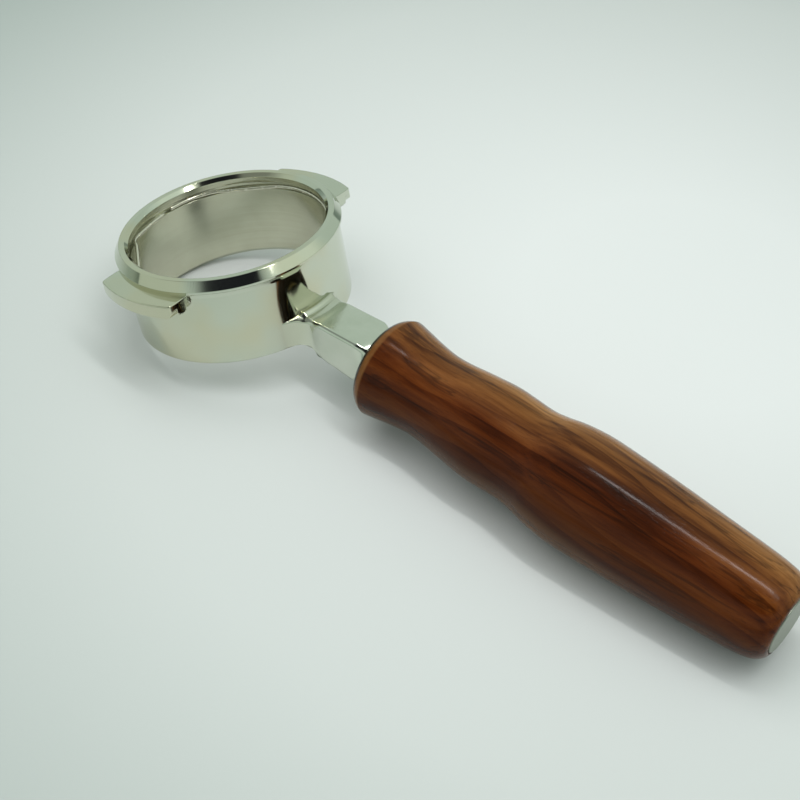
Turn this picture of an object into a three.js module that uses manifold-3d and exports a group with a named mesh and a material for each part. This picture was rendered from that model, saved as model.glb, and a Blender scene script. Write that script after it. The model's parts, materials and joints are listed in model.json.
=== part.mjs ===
// A bottomless portafilter: a chamfered steel head ring with two bayonet lugs, a stem welded to
// its wall, a basket-retaining wire spring in an internal groove, and a turned wooden handle
// clamped on a long stud by a cap nut. Millimetres, +Z up, standing on Z = 0 as it lies on a
// table: on the far lower edge of the ring and on the swell of the handle.
import * as THREE from 'three';
import { mergeVertices } from 'three/addons/utils/BufferGeometryUtils.js';
import Module from 'manifold-3d';

const wasm = await Module();
wasm.setup();

// Driving dimensions -------------------------------------------------------------------------

const GAP = 0.3; // clearance left between pieces that touch

// Head ring, in its own frame: axis on Z, lower face at Z = 0.
const RING_HEIGHT = 29.7;
const WALL_RADIUS = 35;
const BORE_RADIUS = 31.6;
const RIM_RADIUS = 36.3; // widest part of the rim band
const RIM_FLAT_INNER = 32.65; // flat that seals on the group gasket
const RIM_FLAT_OUTER = 34.4;
const RIM_CHAMFER_HEIGHT = 2.9;
const RIM_BAND_BOTTOM = 26.1;
const INNER_CHAMFER_HEIGHT = 1.2;
const FOOT_CHAMFER = 0.6; // outer lower edge
const FOOT_INNER_CHAMFER = 1.3; // inner lower edge
const GROOVE_RADIUS = 33.1; // groove for the basket spring
const GROOVE_BOTTOM = 24.3;
const GROOVE_TOP = 26.5;
const RING_SEGMENTS = 96;

// Bayonet lugs, square to the handle.
const LUG_RADIUS = 42.8;
const LUG_HALF_WIDTH = 15.8;
const LUG_TOP = 25.8;
const LUG_THICKNESS = 4.8;
const LUG_CORNER = 2.4;
const LUG_EDGE = 0.5;
const LUG_ROOT_RADIUS = 33.9; // inside the wall, so that the union is clean

// Basket spring: a wire bent to straight sides whose corners lie in the groove, open opposite
// the handle. Angles are in degrees about the ring's axis, from the handle side.
const WIRE_RADIUS = 0.6;
const WIRE_CORNER_RADIUS = 32.4; // where two sides would meet
const WIRE_FIRST_CORNER = -153;
const WIRE_PITCH = 50.6;
const WIRE_SIDES = 6;
const WIRE_CORNER_CUT = 0.12; // part of a side taken by each rounded corner
const WIRE_FIRST_TAIL = [[30.4, -178], [30.3, -166]]; // radius and angle
const WIRE_LAST_TAIL = [[31.8, 161], [31.4, 175]];
const WIRE_Z = (GROOVE_BOTTOM + GROOVE_TOP) / 2;

// Handle axis, in the ring's frame: it starts on the ring's axis and drops away from it.
const HANDLE_START_Z = 12.6;
const HANDLE_DROP = THREE.MathUtils.degToRad(15.6);

// Stations along the handle axis, from the ring's axis.
const NECK_INNER = 31;
const NECK_GROWTH_START = 34; // the stem's section grows from here ...
const NECK_GROWTH_LENGTH = 22; // ... over this length
const NECK_UPPER_CORNER = 1.6;
const NECK_LOWER_CORNER = 3.6;
const NECK_SQUARE_END = 55.5; // the stem's square section starts to turn round here
const NECK_SHOULDER = 61.2;
const SPIGOT_END = 70;
const SPIGOT_RADIUS = 6;
const NECK_END_RADIUS = 8.5;
const NECK_FLARE = 3; // spread of the stem's lower sides where it meets the wall
const NECK_FLARE_END = 40.5;
const NECK_LIP_RADIUS = 1.5; // rolled lip across the top of the stem, against the wall
const NECK_LIP_STATION = 36.3;
const NECK_LIP_HEIGHT = 5.6;
const THREAD_HOLE_RADIUS = 4.15;
const THREAD_HOLE_START = 44.5;
const STUD_RADIUS = THREAD_HOLE_RADIUS - GAP; // M8
const STUD_START = 45;
const STUD_END = 197;
const STUD_CHAMFER = 0.8;

const GRIP_START = 61.5;
const GRIP_END = 202.7;
const GRIP_BORE = 4.6;
const BUSH_POCKET_RADIUS = 8.8;
const BUSH_POCKET_END = 71.5;
const CAP_POCKET_RADIUS = 7.8;
const CAP_POCKET_START = 183.5;
// Turned profile of the grip: station and radius.
const GRIP_PROFILE = [
  [61.5, 13.2], [62.8, 15.1], [65.3, 16.3], [70, 15.4], [75, 14.5], [81, 13.75], [87, 13.9], [95, 14.8],
  [103.5, 15.55], [110, 15.4], [116.5, 15.15], [121.5, 15.75], [127, 16.9], [135, 17.7], [146, 17.35],
  [160, 16.65], [176, 15.6], [190, 14.65], [196, 13.95], [199, 13.2], [201, 12.2], [202.2, 11], [202.7, 10],
];
const GRIP_SEGMENTS = 48;
const GRIP_STEPS = 30;

const FLAT_WASHER_THICKNESS = 1.6;
const FLAT_WASHER_RADIUS = 7.4;
const SPRING_WASHER_THICKNESS = 2;
const SPRING_WASHER_RADIUS = 7.2;
const WASHER_BORE = 4.3;
const SPRING_WASHER_SLIT = 1.2;
const SPRING_WASHER_SLIT_ANGLE = Math.PI / 5; // of the slit, from straight up

const CAP_SHANK_RADIUS = 7;
const CAP_HEAD_RADIUS = 9; // sunk in the grip's end, almost flush
const CAP_SEAT_STATION = 201;
const CAP_HEAD_THICKNESS = 1.7;
const CAP_HEAD_EDGE = 0.4;
const CAP_HOLE_END = 198;
const O_RING_STATION = 196.5;
const O_RING_MAJOR = 6.6;
const O_RING_TUBE = 0.9;
const O_RING_GROOVE_FLOOR = 5.4;

// Solids ---------------------------------------------------------------------------------------

function toSolid(geometry) {
  const bare = geometry.clone();
  bare.deleteAttribute('normal');
  bare.deleteAttribute('uv');
  const merged = mergeVertices(bare, 1e-4);
  const mesh = new wasm.Mesh({
    numProp: 3,
    vertProperties: new Float32Array(merged.attributes.position.array),
    triVerts: new Uint32Array(merged.index.array),
  });
  return new wasm.Manifold(mesh);
}

function toGeometry(solid) {
  const mesh = solid.getMesh();
  const geometry = new THREE.BufferGeometry();
  geometry.setAttribute('position', new THREE.BufferAttribute(new Float32Array(mesh.vertProperties), 3));
  geometry.setIndex(new THREE.BufferAttribute(new Uint32Array(mesh.triVerts), 1));
  geometry.computeVertexNormals();
  return geometry;
}

// A solid of revolution about Z. The outline is a closed loop of [radius, z] points, listed
// anticlockwise as seen with the radius to the right and Z up. It starts half a facet round, so
// that a facet, and not a corner, faces down when the object lies on a table.
function revolveZ(outline, segments) {
  const points = [...outline, outline[0]].map(([r, z]) => new THREE.Vector2(r, z));
  return new THREE.LatheGeometry(points, segments, Math.PI / segments).rotateX(Math.PI / 2);
}

// The same about X, for pieces on the handle axis: the outline is [radius, station].
function revolveX(outline, segments) {
  return revolveZ(outline, segments).rotateY(Math.PI / 2);
}

// A tube or rod section along the handle axis, from station a to station b.
function sleeve(inner, outer, a, b, segments = 40) {
  return revolveX([[inner, a], [outer, a], [outer, b], [inner, b]], segments);
}

// Head ring -------------------------------------------------------------------------------------

function ringBody() {
  const top = RING_HEIGHT;
  const chamferBottom = top - RIM_CHAMFER_HEIGHT;
  return revolveZ([
    [WALL_RADIUS - FOOT_CHAMFER, 0],
    [WALL_RADIUS, FOOT_CHAMFER],
    [WALL_RADIUS, RIM_BAND_BOTTOM - 0.4],
    [RIM_RADIUS, RIM_BAND_BOTTOM],
    [RIM_RADIUS, chamferBottom],
    [RIM_FLAT_OUTER, top],
    [RIM_FLAT_INNER, top],
    [BORE_RADIUS, top - INNER_CHAMFER_HEIGHT],
    [BORE_RADIUS, GROOVE_TOP],
    [GROOVE_RADIUS, GROOVE_TOP],
    [GROOVE_RADIUS, GROOVE_BOTTOM],
    [BORE_RADIUS, GROOVE_BOTTOM],
    [BORE_RADIUS, FOOT_INNER_CHAMFER],
    [BORE_RADIUS + FOOT_INNER_CHAMFER, 0],
  ], RING_SEGMENTS);
}

// Plan of one lug, on the +Y side: parallel ends, an outer arc and rounded outer corners.
function lugPlan() {
  const inner = LUG_RADIUS - LUG_CORNER;
  const centreX = LUG_HALF_WIDTH - LUG_CORNER;
  const centreY = Math.sqrt(inner ** 2 - centreX ** 2);
  const arc = Math.atan2(centreY, centreX);
  const rootHalf = Math.acos(LUG_HALF_WIDTH / LUG_ROOT_RADIUS);
  const plan = new THREE.Shape();
  plan.moveTo(LUG_HALF_WIDTH, LUG_ROOT_RADIUS * Math.sin(rootHalf));
  plan.lineTo(LUG_HALF_WIDTH, centreY);
  plan.absarc(centreX, centreY, LUG_CORNER, 0, arc, false);
  plan.absarc(0, 0, LUG_RADIUS, arc, Math.PI - arc, false);
  plan.absarc(-centreX, centreY, LUG_CORNER, Math.PI - arc, Math.PI, false);
  plan.lineTo(-LUG_HALF_WIDTH, LUG_ROOT_RADIUS * Math.sin(rootHalf));
  plan.absarc(0, 0, LUG_ROOT_RADIUS, Math.PI - rootHalf, rootHalf, true);
  return plan;
}

function lug(turn) {
  const geometry = new THREE.ExtrudeGeometry(lugPlan(), {
    depth: LUG_THICKNESS - 2 * LUG_EDGE,
    bevelEnabled: true,
    bevelThickness: LUG_EDGE,
    bevelSize: LUG_EDGE,
    bevelOffset: -LUG_EDGE,
    bevelSegments: 1,
    curveSegments: 14,
  });
  geometry.translate(0, 0, LUG_TOP - LUG_THICKNESS + LUG_EDGE);
  return geometry.rotateZ(turn);
}

function headRing() {
  const solid = toSolid(ringBody()).add(toSolid(lug(0))).add(toSolid(lug(Math.PI)));
  return toGeometry(solid);
}

// Basket spring -----------------------------------------------------------------------------------

function springPath() {
  const polar = ([radius, degrees]) => {
    const angle = THREE.MathUtils.degToRad(degrees);
    return new THREE.Vector3(radius * Math.cos(angle), radius * Math.sin(angle), WIRE_Z);
  };
  const points = WIRE_FIRST_TAIL.map(polar);
  for (let side = 0; side < WIRE_SIDES; side += 1) {
    const from = polar([WIRE_CORNER_RADIUS, WIRE_FIRST_CORNER + side * WIRE_PITCH]);
    const to = polar([WIRE_CORNER_RADIUS, WIRE_FIRST_CORNER + (side + 1) * WIRE_PITCH]);
    for (const part of [WIRE_CORNER_CUT, 0.5, 1 - WIRE_CORNER_CUT]) {
      points.push(from.clone().lerp(to, part));
    }
  }
  points.push(...WIRE_LAST_TAIL.map(polar));
  return new THREE.CatmullRomCurve3(points, false, 'centripetal');
}

function basketSpring() {
  const section = new THREE.Shape();
  section.absarc(0, 0, WIRE_RADIUS, 0, 2 * Math.PI, false);
  return new THREE.ExtrudeGeometry(section, {
    steps: 78,
    curveSegments: 4,
    extrudePath: springPath(),
  });
}

// Neck stem ----------------------------------------------------------------------------------------

// Square part of the stem at a station: half width, height above and depth below the axis, and
// how far its lower sides spread towards the wall.
function neckSize(station) {
  const grown = THREE.MathUtils.clamp((station - NECK_GROWTH_START) / NECK_GROWTH_LENGTH, 0, 1);
  const near = THREE.MathUtils.clamp((NECK_FLARE_END - station) / (NECK_FLARE_END - WALL_RADIUS), 0, 1);
  return {
    half: THREE.MathUtils.lerp(7.25, 7.5, grown),
    above: THREE.MathUtils.lerp(6.4, 8.8, grown),
    below: THREE.MathUtils.lerp(6.6, 7.8, grown),
    flare: NECK_FLARE * near ** 2,
  };
}

// A rounded rectangle in the plane across the axis, with softer corners below.
function neckSection() {
  const { half, above, below } = neckSize(NECK_INNER);
  const upper = NECK_UPPER_CORNER;
  const lower = NECK_LOWER_CORNER;
  const plan = new THREE.Shape();
  plan.moveTo(half, -below + lower);
  plan.absarc(half - upper, above - upper, upper, 0, Math.PI / 2, false);
  plan.absarc(-half + upper, above - upper, upper, Math.PI / 2, Math.PI, false);
  plan.absarc(-half + lower, -below + lower, lower, Math.PI, 1.5 * Math.PI, false);
  plan.absarc(half - lower, -below + lower, lower, 1.5 * Math.PI, 2 * Math.PI, false);
  return plan;
}

// The stem's skin: the section swept along the axis, growing towards the grip and turning round
// over its last stretch.
function neckBlank() {
  const geometry = new THREE.ExtrudeGeometry(neckSection(), {
    depth: NECK_SHOULDER - NECK_INNER,
    steps: 18,
    bevelEnabled: false,
    curveSegments: 5,
  });
  const start = neckSize(NECK_INNER);
  const position = geometry.attributes.position;
  for (let i = 0; i < position.count; i += 1) {
    const station = NECK_INNER + position.getZ(i);
    const size = neckSize(station);
    const lift = position.getY(i);
    const rise = lift > 0 ? lift * size.above / start.above : lift * size.below / start.below;
    const spread = size.flare * THREE.MathUtils.smoothstep(size.above - rise, 0, size.above + size.below);
    const side = position.getX(i) * (size.half + spread) / start.half;
    const round = THREE.MathUtils.smoothstep(station, NECK_SQUARE_END, NECK_SHOULDER);
    const scale = NECK_END_RADIUS / Math.hypot(side, rise);
    const turned = THREE.MathUtils.lerp(1, scale, round);
    position.setXYZ(i, station, side * turned, rise * turned);
  }
  return geometry;
}

function neckStem(toRing) {
  const hole = revolveX([[0, THREAD_HOLE_START], [THREAD_HOLE_RADIUS, THREAD_HOLE_START],
    [THREAD_HOLE_RADIUS, SPIGOT_END + 1], [0, SPIGOT_END + 1]], 32);
  const spigot = revolveX([[0, NECK_SHOULDER - 2], [SPIGOT_RADIUS, NECK_SHOULDER - 2],
    [SPIGOT_RADIUS, SPIGOT_END], [0, SPIGOT_END]], 48);
  const lipLength = 2 * neckSize(NECK_INNER).half;
  const lip = new THREE.CylinderGeometry(NECK_LIP_RADIUS, NECK_LIP_RADIUS, lipLength, 16);
  lip.translate(NECK_LIP_STATION, 0, NECK_LIP_HEIGHT);
  const wall = WALL_RADIUS + GAP;
  const wallCut = revolveZ([[0, -30], [wall, -30], [wall, 60], [0, 60]], RING_SEGMENTS);
  wallCut.applyMatrix4(toRing.clone().invert());
  const skin = toSolid(neckBlank()).add(toSolid(lip)).add(toSolid(spigot));
  return toGeometry(skin.subtract(toSolid(hole)).subtract(toSolid(wallCut)));
}

// Handle pieces, all on the handle axis -------------------------------------------------------------

function gripProfile() {
  const points = GRIP_PROFILE.map(([station, radius]) => new THREE.Vector2(station, radius));
  return new THREE.SplineCurve(points).getSpacedPoints(GRIP_STEPS).map((p) => [p.y, p.x]);
}

function handleGrip() {
  return revolveX([
    [GRIP_BORE, CAP_POCKET_START],
    [GRIP_BORE, BUSH_POCKET_END],
    [BUSH_POCKET_RADIUS, BUSH_POCKET_END],
    [BUSH_POCKET_RADIUS, GRIP_START],
    ...gripProfile(),
    [CAP_HEAD_RADIUS + GAP, GRIP_END],
    [CAP_HEAD_RADIUS + GAP, CAP_SEAT_STATION],
    [CAP_POCKET_RADIUS, CAP_SEAT_STATION],
    [CAP_POCKET_RADIUS, CAP_POCKET_START],
  ], GRIP_SEGMENTS);
}

function handleStud() {
  return revolveX([
    [0, STUD_START],
    [STUD_RADIUS - STUD_CHAMFER, STUD_START],
    [STUD_RADIUS, STUD_START + STUD_CHAMFER],
    [STUD_RADIUS, STUD_END - STUD_CHAMFER],
    [STUD_RADIUS - STUD_CHAMFER, STUD_END],
    [0, STUD_END],
  ], 28);
}

function springWasher(start) {
  const thickness = SPRING_WASHER_THICKNESS;
  const ring = sleeve(WASHER_BORE, SPRING_WASHER_RADIUS, start, start + thickness);
  const slit = new THREE.BoxGeometry(thickness * 3, SPRING_WASHER_SLIT, SPRING_WASHER_RADIUS);
  slit.translate(start + thickness / 2, 0, SPRING_WASHER_RADIUS);
  slit.rotateX(SPRING_WASHER_SLIT_ANGLE);
  return toGeometry(toSolid(ring).subtract(toSolid(slit)));
}

function endCap(shankStart, headStart) {
  const face = headStart + CAP_HEAD_THICKNESS;
  const groove = O_RING_TUBE + GAP;
  return revolveX([
    [THREAD_HOLE_RADIUS, CAP_HOLE_END],
    [THREAD_HOLE_RADIUS, shankStart],
    [CAP_SHANK_RADIUS, shankStart],
    [CAP_SHANK_RADIUS, O_RING_STATION - groove],
    [O_RING_GROOVE_FLOOR, O_RING_STATION - groove],
    [O_RING_GROOVE_FLOOR, O_RING_STATION + groove],
    [CAP_SHANK_RADIUS, O_RING_STATION + groove],
    [CAP_SHANK_RADIUS, headStart],
    [CAP_HEAD_RADIUS, headStart],
    [CAP_HEAD_RADIUS, face - CAP_HEAD_EDGE],
    [CAP_HEAD_RADIUS - CAP_HEAD_EDGE, face],
    [0, face],
    [0, CAP_HOLE_END],
  ], 48);
}

function capORing() {
  const outline = [];
  const sides = 8;
  for (let i = 0; i < sides; i += 1) {
    const angle = 2 * Math.PI * i / sides;
    const radius = O_RING_MAJOR + O_RING_TUBE * Math.cos(angle);
    outline.push([radius, O_RING_STATION + O_RING_TUBE * Math.sin(angle)]);
  }
  return revolveX(outline, 32);
}

// Materials ------------------------------------------------------------------------------------------

const polishedSteel = new THREE.MeshStandardMaterial({ color: 0xd4d7d3, roughness: 0.12, metalness: 1 });
const springSteel = new THREE.MeshStandardMaterial({ color: 0xc2c0b6, roughness: 0.2, metalness: 1 });
const platedSteel = new THREE.MeshStandardMaterial({ color: 0xb5b9bc, roughness: 0.35, metalness: 1 });
const brass = new THREE.MeshStandardMaterial({ color: 0xc9a55a, roughness: 0.3, metalness: 1 });
const darkWood = new THREE.MeshStandardMaterial({ color: 0x6b3420, roughness: 0.35, metalness: 0 });
const brushedSteel = new THREE.MeshStandardMaterial({ color: 0xc9cec9, roughness: 0.3, metalness: 1 });
const blackRubber = new THREE.MeshStandardMaterial({ color: 0x1a1a1a, roughness: 0.8, metalness: 0 });

// Assembly -------------------------------------------------------------------------------------------

function named(name, geometry, material) {
  const mesh = new THREE.Mesh(geometry, material);
  mesh.name = name;
  return mesh;
}

const handleFrame = new THREE.Group();
handleFrame.position.set(0, 0, HANDLE_START_Z);
handleFrame.rotation.y = HANDLE_DROP;
handleFrame.updateMatrix();

const flatWasherStart = CAP_POCKET_START + GAP;
const springWasherStart = flatWasherStart + FLAT_WASHER_THICKNESS + GAP;
const shankStart = springWasherStart + SPRING_WASHER_THICKNESS + GAP;
const headStart = CAP_SEAT_STATION + GAP;
const bushOuter = BUSH_POCKET_RADIUS - GAP;
const bushInner = SPIGOT_RADIUS + GAP;
const flatWasherEnd = flatWasherStart + FLAT_WASHER_THICKNESS;
const flatWasher = sleeve(WASHER_BORE, FLAT_WASHER_RADIUS, flatWasherStart, flatWasherEnd);

handleFrame.add(
  named('neck_stem', neckStem(handleFrame.matrix), polishedSteel),
  named('handle_stud', handleStud(), platedSteel),
  named('front_bush', sleeve(bushInner, bushOuter, GRIP_START, BUSH_POCKET_END - GAP), brass),
  named('handle_grip', handleGrip(), darkWood),
  named('flat_washer', flatWasher, platedSteel),
  named('spring_washer', springWasher(springWasherStart), springSteel),
  named('cap_o_ring', capORing(), blackRubber),
  named('end_cap', endCap(shankStart, headStart), brushedSteel),
);

const ringFrame = new THREE.Group();
ringFrame.add(
  named('head_ring', headRing(), polishedSteel),
  named('basket_spring', basketSpring(), springSteel),
  handleFrame,
);

// The resting tilt: the line from the ring's far lower edge that just touches the grip's underside.
function restingTilt() {
  const footReach = (WALL_RADIUS - FOOT_CHAMFER) * Math.cos(Math.PI / RING_SEGMENTS);
  const gripFlat = Math.cos(Math.PI / GRIP_SEGMENTS);
  const down = new THREE.Vector3();
  let steepest = 0;
  for (const [radius, station] of gripProfile()) {
    down.set(station, 0, -radius * gripFlat).applyMatrix4(handleFrame.matrix);
    steepest = Math.max(steepest, Math.atan2(-down.z, down.x + footReach));
  }
  return steepest;
}

const tilt = restingTilt();
ringFrame.rotation.y = -tilt;

const portafilter = new THREE.Group();
portafilter.add(ringFrame);
portafilter.updateMatrixWorld(true);
const bounds = new THREE.Box3().setFromObject(portafilter, true);
const centre = bounds.getCenter(new THREE.Vector3());
ringFrame.position.set(-centre.x, -centre.y, -bounds.min.z);

export default portafilter;
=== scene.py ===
"""Looks for the portafilter: fine meshes, materials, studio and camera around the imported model."""
import json
import math

import bpy
import bmesh
import numpy as np
from mathutils import Matrix, Vector


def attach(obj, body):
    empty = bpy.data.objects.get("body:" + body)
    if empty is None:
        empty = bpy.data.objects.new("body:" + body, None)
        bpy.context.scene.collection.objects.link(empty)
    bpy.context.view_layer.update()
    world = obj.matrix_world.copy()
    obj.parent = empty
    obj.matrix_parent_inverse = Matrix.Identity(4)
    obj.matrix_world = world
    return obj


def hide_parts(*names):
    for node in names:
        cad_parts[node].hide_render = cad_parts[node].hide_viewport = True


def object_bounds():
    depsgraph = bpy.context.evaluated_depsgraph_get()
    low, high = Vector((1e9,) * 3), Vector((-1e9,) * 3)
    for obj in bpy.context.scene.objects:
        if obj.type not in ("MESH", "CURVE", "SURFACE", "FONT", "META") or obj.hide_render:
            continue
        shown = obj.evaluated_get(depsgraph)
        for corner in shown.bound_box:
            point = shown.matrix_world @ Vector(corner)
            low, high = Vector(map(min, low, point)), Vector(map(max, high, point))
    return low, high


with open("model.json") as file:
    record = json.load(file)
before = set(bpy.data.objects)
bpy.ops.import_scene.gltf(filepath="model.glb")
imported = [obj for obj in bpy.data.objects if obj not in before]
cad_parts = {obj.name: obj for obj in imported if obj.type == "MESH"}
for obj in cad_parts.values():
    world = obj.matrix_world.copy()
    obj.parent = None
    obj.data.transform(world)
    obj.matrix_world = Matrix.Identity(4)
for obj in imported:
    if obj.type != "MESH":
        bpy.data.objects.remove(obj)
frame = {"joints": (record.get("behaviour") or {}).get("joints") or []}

cad_low, cad_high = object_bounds()
scene = bpy.context.scene
MM = 0.001

# Driving sizes, in millimetres --------------------------------------------------------------

# Head ring, in its own frame: axis on Z, lower face at Z = 0, +X towards the handle.
WALL_RADIUS = 35.0
BORE_RADIUS = 31.6
RIM_RADIUS = 36.29
RIM_FLAT_INNER, RIM_FLAT_OUTER = 32.65, 34.4
RING_HEIGHT = 29.7
RIM_CHAMFER_HEIGHT = 2.9
RIM_BAND_BOTTOM = 26.05
COVE_HEIGHT = 2.1
GROOVE_RADIUS = 33.1
GROOVE_BOTTOM, GROOVE_TOP = 24.3, 26.5
WIRE_Z = (GROOVE_BOTTOM + GROOVE_TOP) / 2
INNER_CHAMFER_BOTTOM = 28.45
FOOT_MIDDLE_RADIUS = RIM_FLAT_OUTER - 1.0

LUG_RADIUS = 42.75
LUG_HALF_WIDTH = 15.75
LUG_TOP = 25.8
LUG_BOTTOM = 21.05
LUG_END_ROUNDING = 2.7

# Stations along the handle axis, from the ring's axis.
NECK_SHOULDER = 61.2
NECK_END_RADIUS = 8.5
SPIGOT_END = 70.0
SPIGOT_RADIUS = 6.0
GRIP_START, GRIP_END = 61.5, 202.7
GRIP_CREASE = (65.6, 16.17)
BUSH_END, BUSH_RADIUS = 71.5, 8.8
GRIP_BORE_RADIUS = 4.6
POCKET_START, POCKET_RADIUS = 183.5, 7.8
CAP_SEAT, CAP_SEAT_RADIUS = 201.0, 9.3
CAP_FACE, CAP_RADIUS = 203.0, 8.985
SHANK_RADIUS, THREAD_RADIUS = 7.0, 4.15
STUD_START, STUD_END, STUD_RADIUS, STUD_CHAMFER = 45.0, 197.0, 3.85, 0.8


# Frames ----------------------------------------------------------------------------------------

def joint(name):
    return next(j for j in frame["joints"] if j["name"] == name)


def frame_matrix(x_axis, y_axis, z_axis, origin):
    matrix = Matrix((x_axis, y_axis, z_axis)).transposed().to_4x4()
    matrix.translation = origin
    return matrix


ACROSS = Vector((0, 1, 0))
ring_axis = Vector(joint("spring_turn")["axis"]).normalized()
ring_origin = Vector(joint("spring_turn")["pos_m"]) - ring_axis * WIRE_Z * MM
RING = frame_matrix(ACROSS.cross(ring_axis), ACROSS, ring_axis, ring_origin)

handle_axis = Vector(joint("cap_screw")["axis"]).normalized()
handle_origin = Vector(joint("cap_screw")["pos_m"]) - handle_axis * CAP_FACE * MM
HANDLE = frame_matrix(handle_axis, ACROSS, handle_axis.cross(ACROSS), handle_origin)

# The ring's axis as seen from the handle's frame, for where the neck meets the wall.
TO_RING = RING.inverted() @ HANDLE
HANDLE_START_Z = TO_RING.translation.z / MM
HANDLE_DROP = math.atan2(-TO_RING.col[0].z, TO_RING.col[0].x)


# Mesh helpers ----------------------------------------------------------------------------------

def new_piece(name, verts_mm, faces, matrix, material, body, stands_for, weighted=True):
    """A smooth mesh whose points are in millimetres in the frame given by matrix."""
    mesh = bpy.data.meshes.new(name)
    mesh.from_pydata([tuple(v) for v in np.asarray(verts_mm) * MM], [], faces)
    mesh.transform(matrix)
    work = bmesh.new()
    work.from_mesh(mesh)
    bmesh.ops.remove_doubles(work, verts=work.verts, dist=2e-6)
    bmesh.ops.dissolve_degenerate(work, edges=work.edges, dist=1e-6)
    bmesh.ops.recalc_face_normals(work, faces=work.faces)
    work.to_mesh(mesh)
    work.free()
    mesh.polygons.foreach_set("use_smooth", [True] * len(mesh.polygons))
    mesh.materials.append(material)
    piece = bpy.data.objects.new(name, mesh)
    scene.collection.objects.link(piece)
    if weighted:
        modifier = piece.modifiers.new("even_normals", "WEIGHTED_NORMAL")
        modifier.weight = 80
    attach(piece, body)
    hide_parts(*stands_for)


def grid_faces(rows, columns, wrap_rows, wrap_columns):
    faces = []
    for i in range(rows if wrap_rows else rows - 1):
        for j in range(columns if wrap_columns else columns - 1):
            a, b = i * columns + j, i * columns + (j + 1) % columns
            up = ((i + 1) % rows) * columns
            faces.append((a, b, up + (j + 1) % columns, up + j))
    return faces


def rounded(corners, closed=True, steps=6):
    """Points of an outline whose corners are (x, y, radius): each is turned into an arc."""
    points = []
    count = len(corners)
    for i, (x, y, radius) in enumerate(corners):
        here = np.array((x, y))
        if radius == 0 or (not closed and i in (0, count - 1)):
            points.append(here)
            continue
        before = np.array(corners[i - 1][:2]) - here
        after = np.array(corners[(i + 1) % count][:2]) - here
        reach_before, reach_after = np.linalg.norm(before), np.linalg.norm(after)
        before, after = before / reach_before, after / reach_after
        half = math.acos(np.clip(before @ after, -1, 1)) / 2
        back = min(radius / math.tan(half), 0.49 * reach_before, 0.49 * reach_after)
        radius = back * math.tan(half)
        middle = here + (before + after) / np.linalg.norm(before + after) * radius / math.sin(half)
        start, end = here + before * back - middle, here + after * back - middle
        sweep = math.acos(np.clip(start @ end / radius ** 2, -1, 1))
        for k in range(steps + 1):
            t = k / steps
            arc = (math.sin((1 - t) * sweep) * start + math.sin(t * sweep) * end) / math.sin(sweep)
            points.append(middle + arc)
    return np.array(points)


def lathe_x(outline, segments=160):
    """Vertices and faces of a closed outline of (radius, station) turned about the X axis."""
    outline = np.asarray(outline)
    angles = np.linspace(0, 2 * math.pi, segments, endpoint=False)
    verts = [
        (station, radius * math.cos(a), radius * math.sin(a))
        for radius, station in outline for a in angles
    ]
    return verts, grid_faces(len(outline), segments, True, True)


def turned(name, corners, material, body, stands_for, segments=160):
    """A lathed piece on the handle axis, from corners of (radius, station, rounding)."""
    verts, faces = lathe_x(rounded(corners), segments)
    new_piece(name, verts, faces, HANDLE, material, body, stands_for)


# Node helpers ----------------------------------------------------------------------------------

class Nodes:
    """A node tree, with one method for each kind of node that the looks below need."""

    def __init__(self, tree):
        self.tree = tree

    def link(self, source, target):
        self.tree.links.new(source, target)

    def noise(self, vector, scale=1.0, detail=4.0, roughness=0.55, distortion=0.0):
        node = self.tree.nodes.new("ShaderNodeTexNoise")
        for name, value in (("Scale", scale), ("Detail", detail), ("Roughness", roughness),
                            ("Distortion", distortion)):
            node.inputs[name].default_value = value
        self.link(vector, node.inputs["Vector"])
        return node.outputs["Fac"]

    def math(self, operation, *values):
        node = self.tree.nodes.new("ShaderNodeMath")
        node.operation = operation
        for socket, value in zip(node.inputs, values):
            if isinstance(value, (int, float)):
                socket.default_value = value
            else:
                self.link(value, socket)
        return node.outputs["Value"]

    def split(self, vector):
        node = self.tree.nodes.new("ShaderNodeSeparateXYZ")
        self.link(vector, node.inputs["Vector"])
        return node.outputs

    def plus(self, first, second):
        return self.math("ADD", first, second)

    def minus(self, first, second):
        return self.math("SUBTRACT", first, second)

    def times(self, first, second):
        return self.math("MULTIPLY", first, second)

    def length(self, first, second):
        return self.math("SQRT", self.plus(self.times(first, first), self.times(second, second)))

    def join(self, x, y, z):
        node = self.tree.nodes.new("ShaderNodeCombineXYZ")
        for socket, value in zip(node.inputs, (x, y, z)):
            if isinstance(value, (int, float)):
                socket.default_value = value
            else:
                self.link(value, socket)
        return node.outputs["Vector"]

    def range(self, value, low, high, to_low=0.0, to_high=1.0):
        node = self.tree.nodes.new("ShaderNodeMapRange")
        for name, number in (("From Min", low), ("From Max", high), ("To Min", to_low),
                             ("To Max", to_high)):
            node.inputs[name].default_value = number
        self.link(value, node.inputs["Value"])
        return node.outputs["Result"]

    def ramp(self, value, stops):
        node = self.tree.nodes.new("ShaderNodeValToRGB")
        ramp = node.color_ramp
        while len(ramp.elements) < len(stops):
            ramp.elements.new(0.5)
        for element, (position, colour) in zip(ramp.elements, stops):
            element.position = position
            element.color = (*colour, 1)
        self.link(value, node.inputs["Fac"])
        return node.outputs["Color"]

    def mix(self, factor, first, second):
        node = self.tree.nodes.new("ShaderNodeMix")
        node.data_type = "RGBA"
        for name, value in (("Factor", factor), ("A", first), ("B", second)):
            socket = next(s for s in node.inputs if s.name == name and s.enabled)
            if isinstance(value, (int, float)):
                socket.default_value = value
            elif isinstance(value, tuple):
                socket.default_value = (*value, 1)
            else:
                self.link(value, socket)
        return next(s for s in node.outputs if s.enabled)


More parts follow.
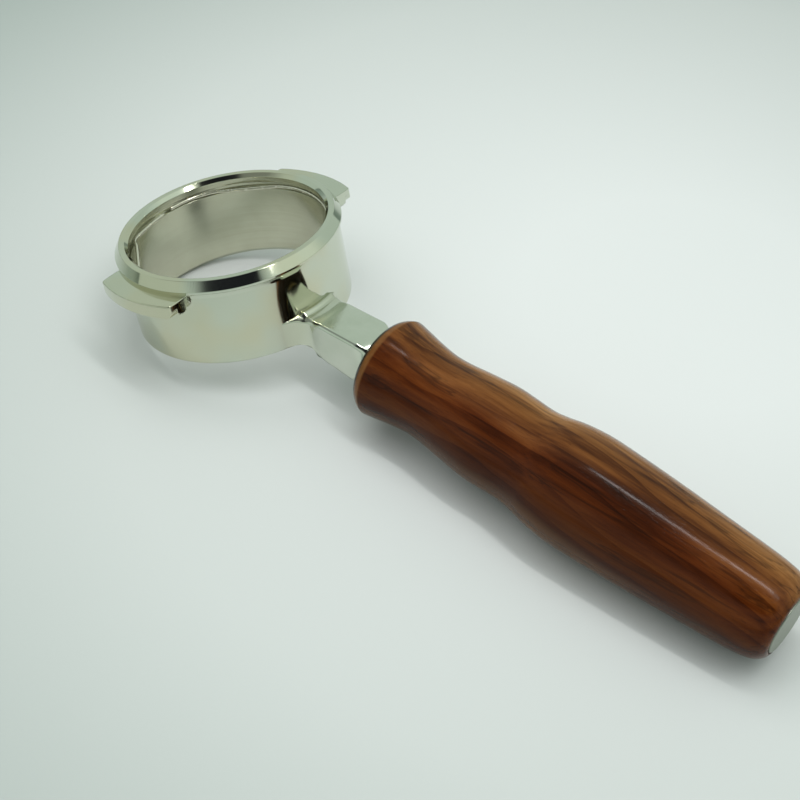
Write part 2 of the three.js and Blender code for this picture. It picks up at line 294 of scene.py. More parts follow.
class Shader(Nodes):
    """The nodes of a new material, which are placed in the frame of the piece that wears it."""

    def __init__(self, name, matrix=RING, **settings):
        self.matrix = matrix.inverted()
        self.material = bpy.data.materials.new(name)
        self.material.use_nodes = True
        super().__init__(self.material.node_tree)
        self.surface = self.tree.nodes["Principled BSDF"]
        for socket, value in settings.items():
            self.surface.inputs[socket.replace("_", " ")].default_value = value

    def place(self, scale=(1, 1, 1), offset=(0, 0, 0)):
        """Coordinates in metres in the piece's own frame, stretched by scale."""
        coordinates = self.tree.nodes.new("ShaderNodeTexCoord")
        turn = self.tree.nodes.new("ShaderNodeMapping")
        turn.inputs["Rotation"].default_value = self.matrix.to_euler()
        turn.inputs["Location"].default_value = self.matrix.translation
        self.link(coordinates.outputs["Object"], turn.inputs["Vector"])
        stretch = self.tree.nodes.new("ShaderNodeMapping")
        stretch.inputs["Scale"].default_value = scale
        stretch.inputs["Location"].default_value = offset
        self.link(turn.outputs["Vector"], stretch.inputs["Vector"])
        return stretch.outputs["Vector"]

    def bump(self, height, distance_mm):
        node = self.tree.nodes.new("ShaderNodeBump")
        node.inputs["Distance"].default_value = distance_mm * MM
        node.inputs["Strength"].default_value = 1.0
        self.link(height, node.inputs["Height"])
        self.link(node.outputs["Normal"], self.surface.inputs["Normal"])

    def feed(self, socket, value):
        self.link(value, self.surface.inputs[socket])


# Materials -------------------------------------------------------------------------------------

def ring_steel():
    """Polished outside with faint buffing, and a satin bore with lathe lines around it."""
    s = Shader("ring_steel", Metallic=1.0)
    x, y, z = s.split(s.place())
    radius = s.length(x, y)
    bore = s.range(radius, (GROOVE_RADIUS + 0.2) * MM, (GROOVE_RADIUS + 0.5) * MM, 1.0, 0.0)
    chamfer_z = INNER_CHAMFER_BOTTOM * MM
    under_chamfer = s.range(z, chamfer_z - 0.5 * MM, chamfer_z, 1.0, 0.0)
    satin = s.times(bore, under_chamfer)
    along = s.plus(z, radius)
    fine = s.noise(s.join(s.times(x, 9.0), s.times(y, 9.0),
                          s.times(along, 2600.0)), detail=3.0)
    broad = s.noise(s.join(s.times(x, 14.0), s.times(y, 14.0),
                           s.times(along, 300.0)), detail=2.0)
    smudge = s.noise(s.place(), scale=75.0, detail=4.0, roughness=0.55)
    tint = s.noise(s.place(offset=(0.4, 0.2, 0.1)), scale=38.0, detail=2.0)
    lines = s.plus(s.times(fine, 0.75), s.times(broad, 0.25))
    polished = s.plus(s.range(smudge, 0.35, 0.75, 0.05, 0.13), s.times(lines, 0.03))
    turned_bore = s.range(lines, 0.3, 0.7, 0.17, 0.27)
    s.feed("Roughness", s.plus(s.times(polished, s.minus(1.0, satin)),
                               s.times(turned_bore, satin)))
    warm = s.mix(smudge, (0.57, 0.57, 0.42), (0.63, 0.62, 0.48))
    cool = s.mix(smudge, (0.55, 0.59, 0.48), (0.61, 0.64, 0.54))
    outside = s.mix(s.range(tint, 0.42, 0.58), warm, cool)
    worn = s.plus(s.times(lines, 0.5), s.times(smudge, 0.5))
    inside = s.mix(s.range(worn, 0.35, 0.65), (0.50, 0.50, 0.38), (0.62, 0.62, 0.49))
    s.feed("Base Color", s.mix(satin, outside, inside))
    s.bump(s.times(lines, s.range(satin, 0.0, 1.0, 0.08, 1.0)), 0.006)
    return s.material


def neck_steel():
    """Polished cast steel: bright, with soft waves and fine scratches along it."""
    s = Shader("neck_steel", HANDLE, Metallic=1.0)
    x = s.split(s.place())["X"]
    smudge = s.noise(s.place(), scale=80.0, detail=5.0, roughness=0.6)
    scratches = s.noise(s.place((60, 1800, 1800)), detail=3.0)
    roughness = s.plus(s.range(smudge, 0.3, 0.75, 0.07, 0.17), s.times(scratches, 0.05))
    s.feed("Roughness", roughness)
    bright = s.mix(s.range(smudge, 0.35, 0.65), (0.60, 0.64, 0.54), (0.67, 0.70, 0.61))
    root = s.range(x, (WALL_RADIUS + 1) * MM, (WALL_RADIUS + 6) * MM, 1.0, 0.0)
    s.feed("Base Color", s.mix(root, bright, (0.58, 0.60, 0.48)))
    waves = s.noise(s.place(), scale=110.0, detail=2.0)
    s.bump(s.plus(s.times(waves, 0.85), s.times(scratches, 0.15)), 0.05)
    return s.material


def spring_wire():
    s = Shader("spring_wire", Metallic=1.0)
    drawn = s.noise(s.place(), scale=1500.0, detail=3.0)
    s.feed("Roughness", s.range(drawn, 0.3, 0.7, 0.14, 0.30))
    s.feed("Base Color", s.mix(drawn, (0.60, 0.57, 0.46), (0.78, 0.75, 0.64)))
    s.bump(drawn, 0.006)
    return s.material


def turned_metal(name, dark, light, low, high):
    """A turned metal whose tool lines run round the handle axis."""
    s = Shader(name, HANDLE, Metallic=1.0)
    x, y, z = s.split(s.place())
    radius = s.length(y, z)
    along = s.times(s.plus(radius, x), 3200.0)
    lines = s.noise(s.join(s.times(y, 12.0), s.times(z, 12.0), along), detail=3.0)
    s.feed("Roughness", s.range(lines, 0.3, 0.7, low, high))
    s.feed("Base Color", s.mix(lines, dark, light))
    s.bump(lines, 0.012)
    return s.material


def grip_wood():
    """Oiled walnut-like hardwood with dark figure lines, the log's rings, short pores and fine
    fibres. It is golden on its +Y side and redder on the other, partly the wood's own tone and
    partly painted light on the lit upper side; the other side also carries painted shade that
    darkens it towards black, and is golden again at its lowest edge. The inner part of the
    front end carries painted shade, near-black."""
    s = Shader("grip_wood", HANDLE, Specular_IOR_Level=0.12)
    x, y, z = s.split(s.place())
    bend = s.noise(s.place((9, 36, 36), (0.3, 0.1, 0.7)), detail=2.0, roughness=0.45)
    across = s.plus(s.times(y, 0.80), s.times(z, 0.60))
    across = s.plus(across, s.times(x, 0.035))
    across = s.plus(across, s.times(bend, 0.022))
    ring = s.math("FRACT", s.times(across, 210.0))
    late = s.math("POWER", ring, 3.0)
    fibres = s.noise(s.place((24, 620, 620)), detail=5.0, roughness=0.62)
    streak = s.noise(s.place((11, 170, 170), (0.1, 0.9, 0.4)), detail=3.0, roughness=0.55)
    patch = s.noise(s.place((13, 60, 60), (0.6, 0.2, 0.3)), detail=2.0)
    value = s.plus(s.times(streak, 0.38), s.times(fibres, 0.25))
    value = s.plus(value, s.times(patch, 0.32))
    value = s.plus(value, 0.07)
    value = s.minus(value, s.times(late, 0.07))
    red = s.ramp(value, [
        (0.36, (0.012, 0.0024, 0.0006)), (0.45, (0.040, 0.0078, 0.0014)),
        (0.52, (0.080, 0.0170, 0.0028)), (0.60, (0.125, 0.0310, 0.0052)),
        (0.72, (0.180, 0.0560, 0.0110)),
    ])
    gold = s.ramp(value, [
        (0.36, (0.028, 0.0088, 0.0024)), (0.45, (0.088, 0.0310, 0.0080)),
        (0.52, (0.172, 0.0700, 0.0180)), (0.60, (0.245, 0.1080, 0.0310)),
        (0.72, (0.315, 0.1560, 0.0540)),
    ])
    # side grows towards the upper +Y side; the golden and red split along it is partly the wood's own
    # tone and partly painted light and shade.
    side = s.plus(s.times(y, 0.90), s.times(z, 0.44))
    side = s.plus(side, s.times(s.minus(patch, 0.5), 0.016))
    base = s.mix(s.range(side, -0.003, 0.013), red, gold)
    # Painted shade: the side away from the light is darkened towards near-black.
    base = s.mix(s.range(side, -0.016, -0.002, 0.85, 0.0), base, (0.012, 0.0022, 0.0006))
    base = s.mix(s.range(side, -0.0180, -0.0125, 0.60, 0.0), base, (0.190, 0.0800, 0.0240))
    vein = s.noise(s.place((5.5, 105, 105), (0.77, 0.35, 0.15)), detail=4.0, roughness=0.6,
                   distortion=0.3)
    vein = s.math("ABSOLUTE", s.minus(vein, 0.5))
    base = s.mix(s.range(vein, 0.003, 0.018, 0.42, 0.0), base, (0.0075, 0.0032, 0.0018))
    pores = s.noise(s.place((150, 3000, 3000)), detail=2.0, roughness=0.5)
    pore = s.range(pores, 0.60, 0.68)
    base = s.mix(s.times(pore, 0.25), base, (0.010, 0.0040, 0.0020))
    front = s.range(x, (GRIP_CREASE[0] - 0.4) * MM, (GRIP_CREASE[0] + 0.3) * MM, 1.0, 0.0)
    end_grain = s.noise(s.place((500, 500, 500)), detail=4.0)
    band = s.mix(end_grain, (0.115, 0.0400, 0.0095), (0.240, 0.1050, 0.0300))
    base = s.mix(s.times(front, 0.75), base, band)
    radius = s.length(y, z)
    # Painted shade: the inner part of the front end, turned towards the ring, is painted near-black.
    painted_shade_front = s.times(front, s.range(radius, 0.0148, 0.0156, 1.0, 0.0))
    s.feed("Base Color", s.mix(painted_shade_front, base, (0.012, 0.0060, 0.0035)))
    s.feed("Roughness", s.range(fibres, 0.3, 0.7, 0.10, 0.16))
    s.bump(s.minus(s.times(fibres, 0.4), pore), 0.009)
    return s.material


def seal_rubber():
    s = Shader("seal_rubber", HANDLE, Roughness=0.75)
    grain = s.noise(s.place(), scale=3000.0, detail=2.0)
    s.feed("Base Color", s.mix(grain, (0.012, 0.012, 0.012), (0.030, 0.030, 0.028)))
    s.bump(grain, 0.01)
    return s.material


# Head ring -------------------------------------------------------------------------------------

def lug_reach(angles):
    """How far the ring and its lugs reach from the ring's axis at each angle, in radians."""
    side = LUG_HALF_WIDTH
    root = math.sqrt(WALL_RADIUS ** 2 - side ** 2)
    tip = math.sqrt(LUG_RADIUS ** 2 - side ** 2)
    root_angle, tip_angle = math.atan2(side, root), math.atan2(side, tip)
    wall_arc = [(WALL_RADIUS * math.sin(a), WALL_RADIUS * math.cos(a), 0.0)
                for a in np.linspace(math.pi / 3, root_angle + 0.03, 24)]
    tip_arc = [(LUG_RADIUS * math.sin(a), LUG_RADIUS * math.cos(a), 0.0)
               for a in np.linspace(tip_angle - 0.03, 0, 24)]
    outline = rounded([*wall_arc, (side, root, 1.5), (side, tip, 2.3), *tip_arc],
                      closed=False, steps=14)
    swing = np.arctan2(outline[:, 0], outline[:, 1])[::-1]
    reach = np.hypot(outline[:, 0], outline[:, 1])[::-1]
    off = np.abs((np.asarray(angles) + math.pi / 2) % math.pi - math.pi / 2)
    return np.interp(off, swing, reach)


def ring_angles():
    """Angles from the lugs' line, packed closely where the lugs' ends are."""
    near = np.radians(np.arange(19, 31, 0.3))
    coarse = np.radians(np.arange(0, 360, 1.5))
    dense = np.concatenate([near, -near, near + math.pi, math.pi - near]) % (2 * math.pi)
    return np.unique(np.round(np.concatenate([coarse, dense]), 5))


def lug_section(steps=6):
    """A lug's outline from the wall below it to the wall above: share of its reach, and height."""
    full = LUG_RADIUS - WALL_RADIUS
    outline = rounded([
        (0, LUG_BOTTOM - 1.2, 0), (0, LUG_BOTTOM, 0.9), (full, LUG_BOTTOM, 0.7),
        (full, LUG_TOP, 0.5), (0, LUG_TOP, 0.0),
    ], closed=False, steps=steps)
    extra = []
    for a, b in zip(outline[:-1], outline[1:]):
        parts = 8 if np.linalg.norm(b - a) > 2 else 1
        extra += [a + (b - a) * k / parts for k in range(parts)]
    outline = np.array([*extra, outline[-1]])
    return outline[:, 0] / full, outline[:, 1]


def eased(t):
    t = np.clip(t, 0, 1)
    return t * t * (3 - 2 * t)


def head_ring(material):
    """One section per angle: the foot, the wall that grows into a lug, then the rim and bore."""
    share, lug_z = lug_section()
    fillet_start = RIM_BAND_BOTTOM - COVE_HEIGHT
    flat_z = np.linspace(lug_z[0], fillet_start, len(share))
    before = rounded([(FOOT_MIDDLE_RADIUS, 0, 0), (WALL_RADIUS, 0, 0.8), (WALL_RADIUS, 8, 0)],
                     closed=False)
    chamfer_bottom = RING_HEIGHT - RIM_CHAMFER_HEIGHT
    cove = [(WALL_RADIUS + (RIM_RADIUS - WALL_RADIUS) * (1 - math.cos(a)),
             fillet_start + COVE_HEIGHT * math.sin(a), 0) for a in np.radians([0, 20, 38, 52, 64, 75])]
    after = rounded([
        *cove, (RIM_RADIUS, RIM_BAND_BOTTOM, 0.15), (RIM_RADIUS, chamfer_bottom, 0.30),
        (RIM_FLAT_OUTER, RING_HEIGHT, 0.30), (RIM_FLAT_INNER, RING_HEIGHT, 0.30),
        (BORE_RADIUS, INNER_CHAMFER_BOTTOM, 0.25), (BORE_RADIUS, GROOVE_TOP, 0.12),
        (GROOVE_RADIUS, GROOVE_TOP, 0.3), (GROOVE_RADIUS, GROOVE_BOTTOM, 0.3),
        (BORE_RADIUS, GROOVE_BOTTOM, 0.15), (BORE_RADIUS, 1.3, 0.4),
        (BORE_RADIUS + 1.2, 0, 0.3), (FOOT_MIDDLE_RADIUS, 0, 0),
    ], closed=False)[1:-1]
    rows = []
    for angle, reach in zip(ring_angles(), lug_reach(ring_angles())):
        out = max(reach - WALL_RADIUS, 0)
        grown = eased(out / 0.8)
        section = np.column_stack([WALL_RADIUS + share * out, flat_z + grown * (lug_z - flat_z)])
        aside = np.abs(section[:, 0] * math.sin(angle))
        past = np.clip(aside - (LUG_HALF_WIDTH - LUG_END_ROUNDING), 0, LUG_END_ROUNDING)
        floor_z = LUG_BOTTOM + LUG_END_ROUNDING - np.sqrt(LUG_END_ROUNDING ** 2 - past ** 2)
        raised = (share > 0.02) & (aside < LUG_HALF_WIDTH + 0.1)
        lift = np.where(raised, np.maximum(floor_z - section[:, 1], 0), 0)
        section[:, 1] += lift * grown
        above = after.copy()
        under_rim = np.arange(len(above)) < np.argmax(above[:, 0] > RIM_RADIUS - 0.001)
        above[under_rim, 0] += grown * (RIM_RADIUS + 0.01 - above[under_rim, 0])
        above[under_rim, 1] += grown * np.maximum(LUG_TOP - above[under_rim, 1], 0)
        for radius, z in np.vstack([before, section, above]):
            rows.append((-radius * math.sin(angle), radius * math.cos(angle), z))
    columns = len(before) + len(share) + len(after)
    faces = grid_faces(len(rows) // columns, columns, True, True)
    new_piece("head_ring_body", rows, faces, RING, material, "portafilter", ["head_ring"])


# Neck ------------------------------------------------------------------------------------------

NECK_FILLET, NECK_SPREAD = 4.2, 7.0
NECK_LIP_HEIGHT, NECK_LIP_LENGTH = 0.85, 1.9
NECK_DIP_DEPTH, NECK_DIP_END = 0.45, 8.0
NECK_FOOT_Z = 0.3
NECK_SINK = 0.04


def neck_section(station):
    """The neck's section at a station as (y, height), for a fixed list of points around it."""
    t = np.clip((station - 34) / 22, 0, 1)
    half, above, below = 7.25 + 0.2 * t, 6.3 + 2.4 * t, 7.5 + 0.4 * t
    outline = rounded([(half, above, 1.6), (-half, above, 1.6), (-half, -below, 3.0),
                       (half, -below, 3.0)], steps=8)
    points = []
    for a, b in zip(outline, np.roll(outline, -1, axis=0)):
        parts = 5 if np.linalg.norm(b - a) > 2.5 else 1
        points += [a + (b - a) * k / parts for k in range(parts)]
    return np.array(points)


def wall_station(y, height):
    """Where the line along the handle through (y, height) meets the ring's outer wall."""
    reach = math.sqrt(WALL_RADIUS ** 2 - y ** 2)
    return (reach - height * math.sin(HANDLE_DROP)) / math.cos(HANDLE_DROP)


def outline_normals(outline):
    """Outward unit normals of a closed anticlockwise outline."""
    along = np.roll(outline, -1, axis=0) - np.roll(outline, 1, axis=0)
    normals = np.column_stack([along[:, 1], -along[:, 0]])
    return normals / np.linalg.norm(normals, axis=1)[:, None]


def top_bead(distance):
    """Height of the rolled lip at the wall and of the shallow dip behind it."""
    if distance < NECK_LIP_LENGTH:
        share = np.clip((distance + 0.5) / (NECK_LIP_LENGTH + 0.5), 0, 1)
        return NECK_LIP_HEIGHT * math.sin(math.pi * share)
    if distance < NECK_DIP_END:
        share = (distance - NECK_LIP_LENGTH) / (NECK_DIP_END - NECK_LIP_LENGTH)
        return -NECK_DIP_DEPTH * math.sin(math.pi * share) ** 2
    return 0.0


def neck_stem(material):
    """The neck from inside the wall to its spigot: a wide fillet to the wall at its sides, a
    rolled lip across its top, and a round shoulder at the grip."""
    base = neck_section(36)
    normals = outline_normals(base)
    if (normals * base).sum() < 0:
        normals = -normals
    # The fillet is widest low on the neck's sides, and small on its +Y side.
    upper = base[:, 1] > 0
    sideways = eased((np.abs(normals[:, 0]) - np.where(upper, 0.75, 0.1)) / np.where(upper, 0.25, 0.9))
    sideways *= np.where(base[:, 0] > 0, 0.25, 1.0)
    turns = np.linspace(0, math.pi / 2, 16)
    beyond = np.arange(NECK_FILLET + 0.3, 8.6, 0.4)
    distances = np.concatenate([[-0.8], NECK_FILLET * (1 - np.cos(turns)), beyond])
    spreads = np.concatenate([[1.0], 1 - np.sin(turns), 0 * beyond]) * NECK_SPREAD
    drop_sin, drop_cos = math.sin(HANDLE_DROP), math.cos(HANDLE_DROP)
    rows = []
    for distance, spread in zip(distances, spreads):
        row = []
        for i, (y, height) in enumerate(base):
            wide = y + math.copysign(spread * sideways[i], y)
            station = wall_station(wide, height) + distance - NECK_SINK
            y_now, h_now = neck_section(station)[i]
            wide = y_now + math.copysign(spread * sideways[i], y)
            foot = NECK_FOOT_Z - 0.9 * max(distance - 1.0, 0)
            lowest = (station * drop_sin - HANDLE_START_Z + foot) / drop_cos
            h_now = max(h_now, lowest) if spread > 0 or distance > NECK_FILLET else h_now
            h_now += top_bead(distance) * eased((height - 3.6) / 2.4)
            row.append((wall_station(wide, h_now) + distance - NECK_SINK, wide, h_now))
        rows.append(row)
    straight, shoulder = np.linspace(45.5, 55, 12), np.linspace(55.6, NECK_SHOULDER - 0.35, 12)
    for station in np.concatenate([straight, shoulder]):
        section = neck_section(station)
        turn = eased((station - 55.5) / (NECK_SHOULDER - 55.5))
        scale = 1 + turn * (NECK_END_RADIUS / np.hypot(*section.T) - 1)
        rows.append([(station, y * k, z * k) for (y, z), k in zip(section, scale)])
    angles = np.arctan2(base[:, 1], base[:, 0])
    spigot = [
        (NECK_END_RADIUS - 0.12, NECK_SHOULDER - 0.1), (NECK_END_RADIUS - 0.4, NECK_SHOULDER),
        (SPIGOT_RADIUS, NECK_SHOULDER), (SPIGOT_RADIUS, SPIGOT_END - 0.5),
        (SPIGOT_RADIUS - 0.5, SPIGOT_END), (THREAD_RADIUS, SPIGOT_END),
        (THREAD_RADIUS, STUD_START - 0.5), (0, STUD_START - 0.5),
    ]
    for radius, station in spigot:
        rows.append([(station, radius * math.cos(a), radius * math.sin(a)) for a in angles])
    first = np.array(rows[0])
    rows.insert(0, [(first[:, 0].mean(), 0, 0)] * len(first))
    faces = grid_faces(len(rows), len(base), False, True)
    new_piece("neck_stem_body", np.array(rows).reshape(-1, 3), faces, HANDLE, material,
                     "portafilter", ["neck_stem"])


# Basket spring ---------------------------------------------------------------------------------

WIRE_RADIUS, WIRE_SEGMENTS = 0.6, 16
WIRE_CORNER_RADIUS = 32.35
WIRE_FIRST_CORNER, WIRE_PITCH, WIRE_SIDES = -153.0, 50.6, 6
WIRE_CORNER_CUT = 0.1
WIRE_CURVED_SIDES, WIRE_CURVED_RADIUS = (3, 4), 31.8
WIRE_FIRST_TAIL = [(30.4, -178), (30.3, -166)]
WIRE_LAST_TAIL = [(31.8, 161), (31.4, 175)]


def on_ring(radius, degrees):
    angle = math.radians(degrees)
    return np.array((radius * math.cos(angle), radius * math.sin(angle), WIRE_Z))


def smooth_line(points, per_part=10):
    """A Catmull-Rom line through the points, with per_part steps between neighbours."""
    points = np.array(points, float)
    padded = np.vstack([2 * points[0] - points[1], points, 2 * points[-1] - points[-2]])
    line = []
    for p0, p1, p2, p3 in zip(padded, padded[1:], padded[2:], padded[3:]):
        for t in np.linspace(0, 1, per_part, endpoint=False):
            line.append(0.5 * (2 * p1 + (p2 - p0) * t + (2 * p0 - 5 * p1 + 4 * p2 - p3) * t ** 2
                               + (3 * p1 - p0 - 3 * p2 + p3) * t ** 3))
    return np.array([*line, points[-1]])


def basket_spring(material):
    """The wire ring: straight sides between bends, two curved ones, and an open end each way."""
    points = [on_ring(*p) for p in WIRE_FIRST_TAIL]
    steps = (WIRE_CORNER_CUT, 0.3, 0.5, 0.7, 1 - WIRE_CORNER_CUT)
    for side in range(WIRE_SIDES):
        corner = WIRE_FIRST_CORNER + side * WIRE_PITCH
        if side in WIRE_CURVED_SIDES:
            points += [on_ring(WIRE_CURVED_RADIUS, corner + t * WIRE_PITCH) for t in steps]
        else:
            a = on_ring(WIRE_CORNER_RADIUS, corner)
            b = on_ring(WIRE_CORNER_RADIUS, corner + WIRE_PITCH)
            points += [a + (b - a) * t for t in steps]
    line = smooth_line([*points, *(on_ring(*p) for p in WIRE_LAST_TAIL)])
    tangents = np.gradient(line, axis=0)
    tangents /= np.linalg.norm(tangents, axis=1)[:, None]
    outward = np.cross(tangents, (0, 0, 1))
    tip = [(0.25, 0.0), (0.22, 0.6), (0.12, 0.9)]
    stations = [(line[0] - tangents[0] * WIRE_RADIUS * k, outward[0], r) for k, r in tip]
    stations += [(point, out, 1.0) for point, out in zip(line, outward)]
    stations += [(line[-1] + tangents[-1] * WIRE_RADIUS * k, outward[-1], r) for k, r in reversed(tip)]
    up = np.array((0, 0, 1))
    verts = []
    for centre, out, share in stations:
        for k in range(WIRE_SEGMENTS):
            a = 2 * math.pi * k / WIRE_SEGMENTS
            verts.append(centre + WIRE_RADIUS * share * (math.cos(a) * out + math.sin(a) * up))
    faces = grid_faces(len(stations), WIRE_SEGMENTS, False, True)
    new_piece("basket_spring_wire", verts, faces, RING, material, "basket_spring",
                     ["basket_spring"], weighted=False)


# Handle pieces ---------------------------------------------------------------------------------

GRIP_FRONT = [(GRIP_START, 12.5), (61.55, 13.0), (61.8, 13.55), (62.6, 14.55), (63.7, 15.4),
              (64.8, 15.95), (65.4, 16.14), GRIP_CREASE]
GRIP_SWELLS = [GRIP_CREASE, (65.8, 16.13), (67, 15.95), (70, 15.4), (75, 14.5), (81, 13.75),
               (87, 13.9), (95, 14.8), (103.5, 15.55), (110, 15.4), (116.5, 15.15), (121.5, 15.75),
               (127, 16.85), (135, 17.585), (146, 17.3), (160, 16.6), (176, 15.55), (190, 14.6),
               (196, 13.9), (199, 13.15), (201, 12.15), (202.2, 10.95), (202.6, 10.2),
               (GRIP_END, 9.8)]


def handle_grip(material):
    """The turned grip: its outline from the front to the end, then back along its bore."""
    outline = [*smooth_line(GRIP_FRONT, 5)[:-1], *smooth_line(GRIP_SWELLS, 7)]
    outline = [(radius, station) for station, radius in outline]
    outline += [
        (CAP_SEAT_RADIUS, GRIP_END), (CAP_SEAT_RADIUS, CAP_SEAT), (POCKET_RADIUS, CAP_SEAT),
        (POCKET_RADIUS, POCKET_START), (GRIP_BORE_RADIUS, POCKET_START),
        (GRIP_BORE_RADIUS, BUSH_END), (BUSH_RADIUS, BUSH_END), (BUSH_RADIUS, GRIP_START),
    ]
    verts, faces = lathe_x(outline, 192)
    new_piece("handle_grip_wood", verts, faces, HANDLE, material, "portafilter", ["handle_grip"])


def stud_and_rings(plated, brass):
    turned("handle_stud_rod", [
        (0, STUD_START, 0), (STUD_RADIUS, STUD_START, STUD_CHAMFER),
        (STUD_RADIUS, STUD_END, STUD_CHAMFER), (0, STUD_END, 0),
    ], plated, "portafilter", ["handle_stud"], 48)
    turned("front_bush_ring", [
        (6.3, GRIP_START, 0.2), (8.5, GRIP_START, 0.3), (8.5, 71.2, 0.3), (6.3, 71.2, 0.2),
    ], brass, "portafilter", ["front_bush"], 96)
    turned("flat_washer_disc", [
        (4.3, 183.8, 0.1), (7.4, 183.8, 0.25), (7.4, 185.4, 0.25), (4.3, 185.4, 0.1),
    ], plated, "portafilter", ["flat_washer"], 96)


def spring_washer(material):
    """A split washer: most of a turn of square section, with its two ends a little apart."""
    start, height, thick, inner, outer = 185.7, 2.0, 1.86, 4.3, 7.2
    middle, gap, rise, count = math.radians(126), math.radians(6), 0.12, 120
    section = rounded([(inner, -0.5, 0.08), (outer, -0.5, 0.15), (outer, 0.5, 0.15),
                       (inner, 0.5, 0.08)], steps=3)
    section[:, 1] *= thick
    rows = []
    for k in range(count):
        share = k / (count - 1)
        angle = middle + gap + (2 * math.pi - 2 * gap) * share
        shift = start + height / 2 + (share - 0.5) * rise
        rows += [(shift + h, r * math.cos(angle), r * math.sin(angle)) for r, h in section]
    size = len(section)
    faces = grid_faces(count, size, False, True)
    faces.append(tuple(range(size)))
    faces.append(tuple(range((count - 1) * size, count * size)))
    new_piece("spring_washer_coil", rows, faces, HANDLE, material, "portafilter",
              ["spring_washer"])


def end_cap(face_steel, rubber):
    turned("end_cap_nut", [
        (0, 198, 0), (THREAD_RADIUS, 198, 0), (THREAD_RADIUS, 188, 0.3), (SHANK_RADIUS, 188, 0.5),
        (SHANK_RADIUS, 195.3, 0), (5.4, 195.3, 0.1), (5.4, 197.7, 0.1), (SHANK_RADIUS, 197.7, 0),
        (SHANK_RADIUS, 201.3, 0.1), (CAP_RADIUS, 201.3, 0.2), (CAP_RADIUS, CAP_FACE, 0.3),
        (0, CAP_FACE, 0),
    ], face_steel, "end_cap", ["end_cap"])
    ring = [(6.6 + 0.9 * math.cos(a), 196.5 + 0.9 * math.sin(a))
            for a in np.linspace(0, 2 * math.pi, 20, endpoint=False)]
    verts, faces = lathe_x(ring, 96)
    new_piece("cap_o_ring_seal", verts, faces, HANDLE, rubber, "cap_seal", ["cap_o_ring"])


# Studio ----------------------------------------------------------------------------------------

CAMERA_AT = Vector((0.18106, -0.24782, 0.32752))
CAMERA_TOWARDS = Vector((-0.43313, 0.55265, -0.71203))
CAMERA_ROLL = math.radians(-3.231)
CAMERA_LENS = 65.88

PALE_SKY = (0.58, 0.67, 0.61)
DIM_SKY = (0.25, 0.28, 0.26)
WINDOW_SKY = (0.80, 0.90, 0.85)
DARK_SCREEN = (0.015, 0.016, 0.020)
SCREEN_FROM, SCREEN_TO, SCREEN_EDGE = -91, -20, 3
# Painted light: the floor's colour is palest at one spot and darker further away, a painted pool of
# light and its falloff.
FLOOR_PAINTED_FALLOFF = [(0.15, (0.70, 0.715, 0.715)), (0.55, (0.575, 0.60, 0.59)), (1.0, (0.31, 0.36, 0.335))]
FLOOR_PAINTED_LIGHT_CENTRE, FLOOR_PAINTED_LIGHT_REACH = (0.02, 0.11, 0.0), 0.36
FLOOR_HALF = 6.0

# Each light: name, centre, towards, size, power, and whether the steel and wood mirror it.
LIGHTS = [
    ("overhead_fill", (-0.05, -0.20, 0.80), (-0.05, -0.10, 0), (1.3, 1.0), 3.0, False),
    ("left_fill", (-0.30, -0.10, 0.60), (-0.08, 0, 0), (0.6, 0.6), 1.1, False),
    ("overhead_strip", (0.11, 0.03, 0.6), (0.11, 0.03, 0), (0.34, 0.032), 0.75, True),
    ("tall_softbox", (0.40, 0.0, 0.80), (-0.08, 0, 0.03), (0.12, 0.32), 0.45, True),
]


def camera():
    data = bpy.data.cameras.new("camera")
    data.sensor_width = 36
    data.lens = CAMERA_LENS
    data.clip_start, data.clip_end = 0.01, 50
    shot = bpy.data.objects.new("camera", data)
    scene.collection.objects.link(shot)
    shot.rotation_mode = "QUATERNION"
    shot.location = CAMERA_AT
    roll = Matrix.Rotation(CAMERA_ROLL, 3, CAMERA_TOWARDS).to_quaternion()
    shot.rotation_quaternion = roll @ CAMERA_TOWARDS.to_track_quat("-Z", "Y")
    scene.camera = shot


def panel(name, centre, towards, size, power, mirrored):
    """A soft rectangular light, unseen by the camera itself."""
    data = bpy.data.lights.new(name, "AREA")
    data.shape = "RECTANGLE"
    data.size, data.size_y = size
    data.energy = power
    light = bpy.data.objects.new(name, data)
    scene.collection.objects.link(light)
    light.location = centre
    light.rotation_mode = "QUATERNION"
    light.rotation_quaternion = (Vector(towards) - Vector(centre)).to_track_quat("-Z", "Y")
    light.visible_camera = False
    light.visible_glossy = mirrored


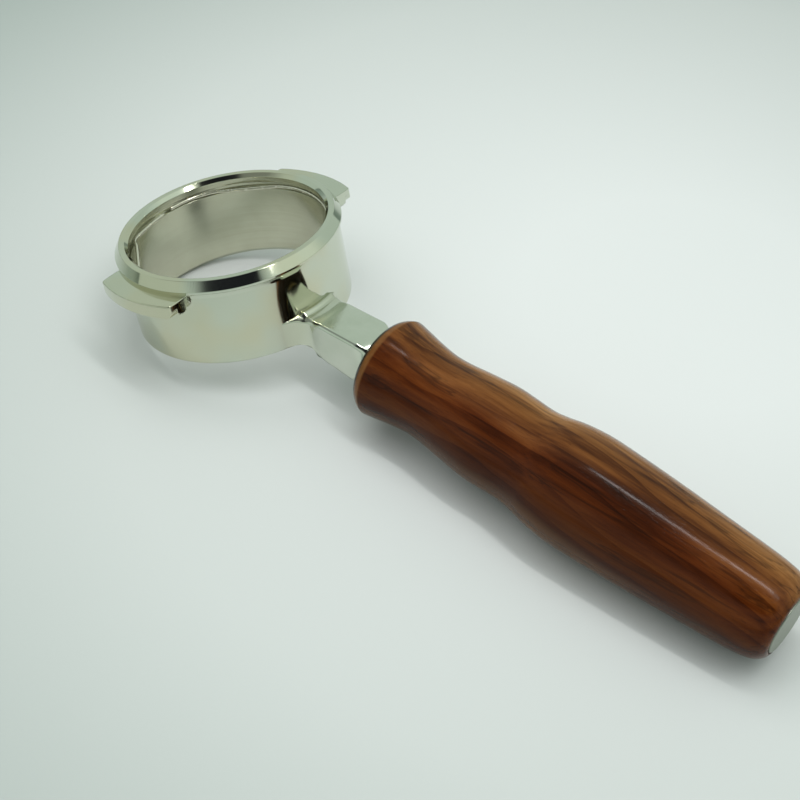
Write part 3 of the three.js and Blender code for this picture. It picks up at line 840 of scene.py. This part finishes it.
def studio_sky():
    """Pale surroundings, dimmer high up behind the camera, with a dark screen in the middle."""
    world = bpy.data.worlds.new("studio")
    scene.world = world
    world.use_nodes = True
    s = Nodes(world.node_tree)
    sky = s.tree.nodes["Background"]
    direction = s.tree.nodes.new("ShaderNodeTexCoord").outputs["Generated"]
    x, y, z = s.split(direction)
    azimuth = s.math("ARCTAN2", y, x)

    def between(first_low, first_high, last_low, last_high):
        """1 between two azimuths in degrees, fading to 0 past each."""
        rises = s.range(azimuth, math.radians(first_low), math.radians(first_high))
        falls = s.range(azimuth, math.radians(last_low), math.radians(last_high))
        return s.times(rises, s.minus(1.0, falls))

    behind = s.times(s.range(s.times(y, -1.0), 0.0, 0.35), s.range(z, 0.45, 0.62))
    sector = between(SCREEN_FROM - SCREEN_EDGE, SCREEN_FROM + SCREEN_EDGE,
                     SCREEN_TO - SCREEN_EDGE, SCREEN_TO + SCREEN_EDGE)
    screen = s.times(sector, s.range(z, 0.53, 0.60))
    screen = s.times(screen, s.minus(1.0, s.range(z, 0.95, 0.985)))
    window = s.times(between(-16, 2, 50, 75), s.range(z, 0.3, 0.5))
    colour = s.mix(window, s.mix(behind, PALE_SKY, DIM_SKY), WINDOW_SKY)
    s.link(s.mix(screen, colour, DARK_SCREEN), sky.inputs["Color"])
    sky.inputs["Strength"].default_value = 1.0


def studio():
    mesh = bpy.data.meshes.new("floor")
    corners = [(-1, -1), (1, -1), (1, 1), (-1, 1)]
    mesh.from_pydata([(x * FLOOR_HALF, y * FLOOR_HALF, 0) for x, y in corners], [], [(0, 1, 2, 3)])
    s = Shader("floor", Matrix.Identity(4), Roughness=0.9, Specular_IOR_Level=0.1)
    # Painted light: the floor's colour fades with distance from its brightest spot.
    place = s.place(offset=tuple(-c for c in FLOOR_PAINTED_LIGHT_CENTRE))
    where = s.split(place)
    away = s.length(where["X"], where["Y"])
    weave = s.times(s.minus(s.noise(place, scale=900.0), 0.5), 0.02)
    away = s.plus(s.times(away, 1 / FLOOR_PAINTED_LIGHT_REACH), weave)
    s.feed("Base Color", s.ramp(away, FLOOR_PAINTED_FALLOFF))
    mesh.materials.append(s.material)
    floor = bpy.data.objects.new("floor", mesh)
    scene.collection.objects.link(floor)
    floor.location.z = cad_low.z - 0.0002

    studio_sky()
    for light in LIGHTS:
        panel(*light)
    scene.view_settings.view_transform = "Standard"


camera()
studio()

ring_metal = ring_steel()
neck_metal = neck_steel()
wire_metal = spring_wire()
plated_metal = turned_metal("plated_steel", (0.52, 0.54, 0.55), (0.72, 0.74, 0.75), 0.25, 0.42)
brass_metal = turned_metal("turned_brass", (0.55, 0.36, 0.12), (0.78, 0.58, 0.26), 0.2, 0.34)
cap_metal = turned_metal("cap_steel", (0.27, 0.29, 0.24), (0.34, 0.36, 0.30), 0.34, 0.46)
wood = grip_wood()
rubber = seal_rubber()

head_ring(ring_metal)
neck_stem(neck_metal)
basket_spring(wire_metal)
handle_grip(wood)
stud_and_rings(plated_metal, brass_metal)
spring_washer(wire_metal)
end_cap(cap_metal, rubber)
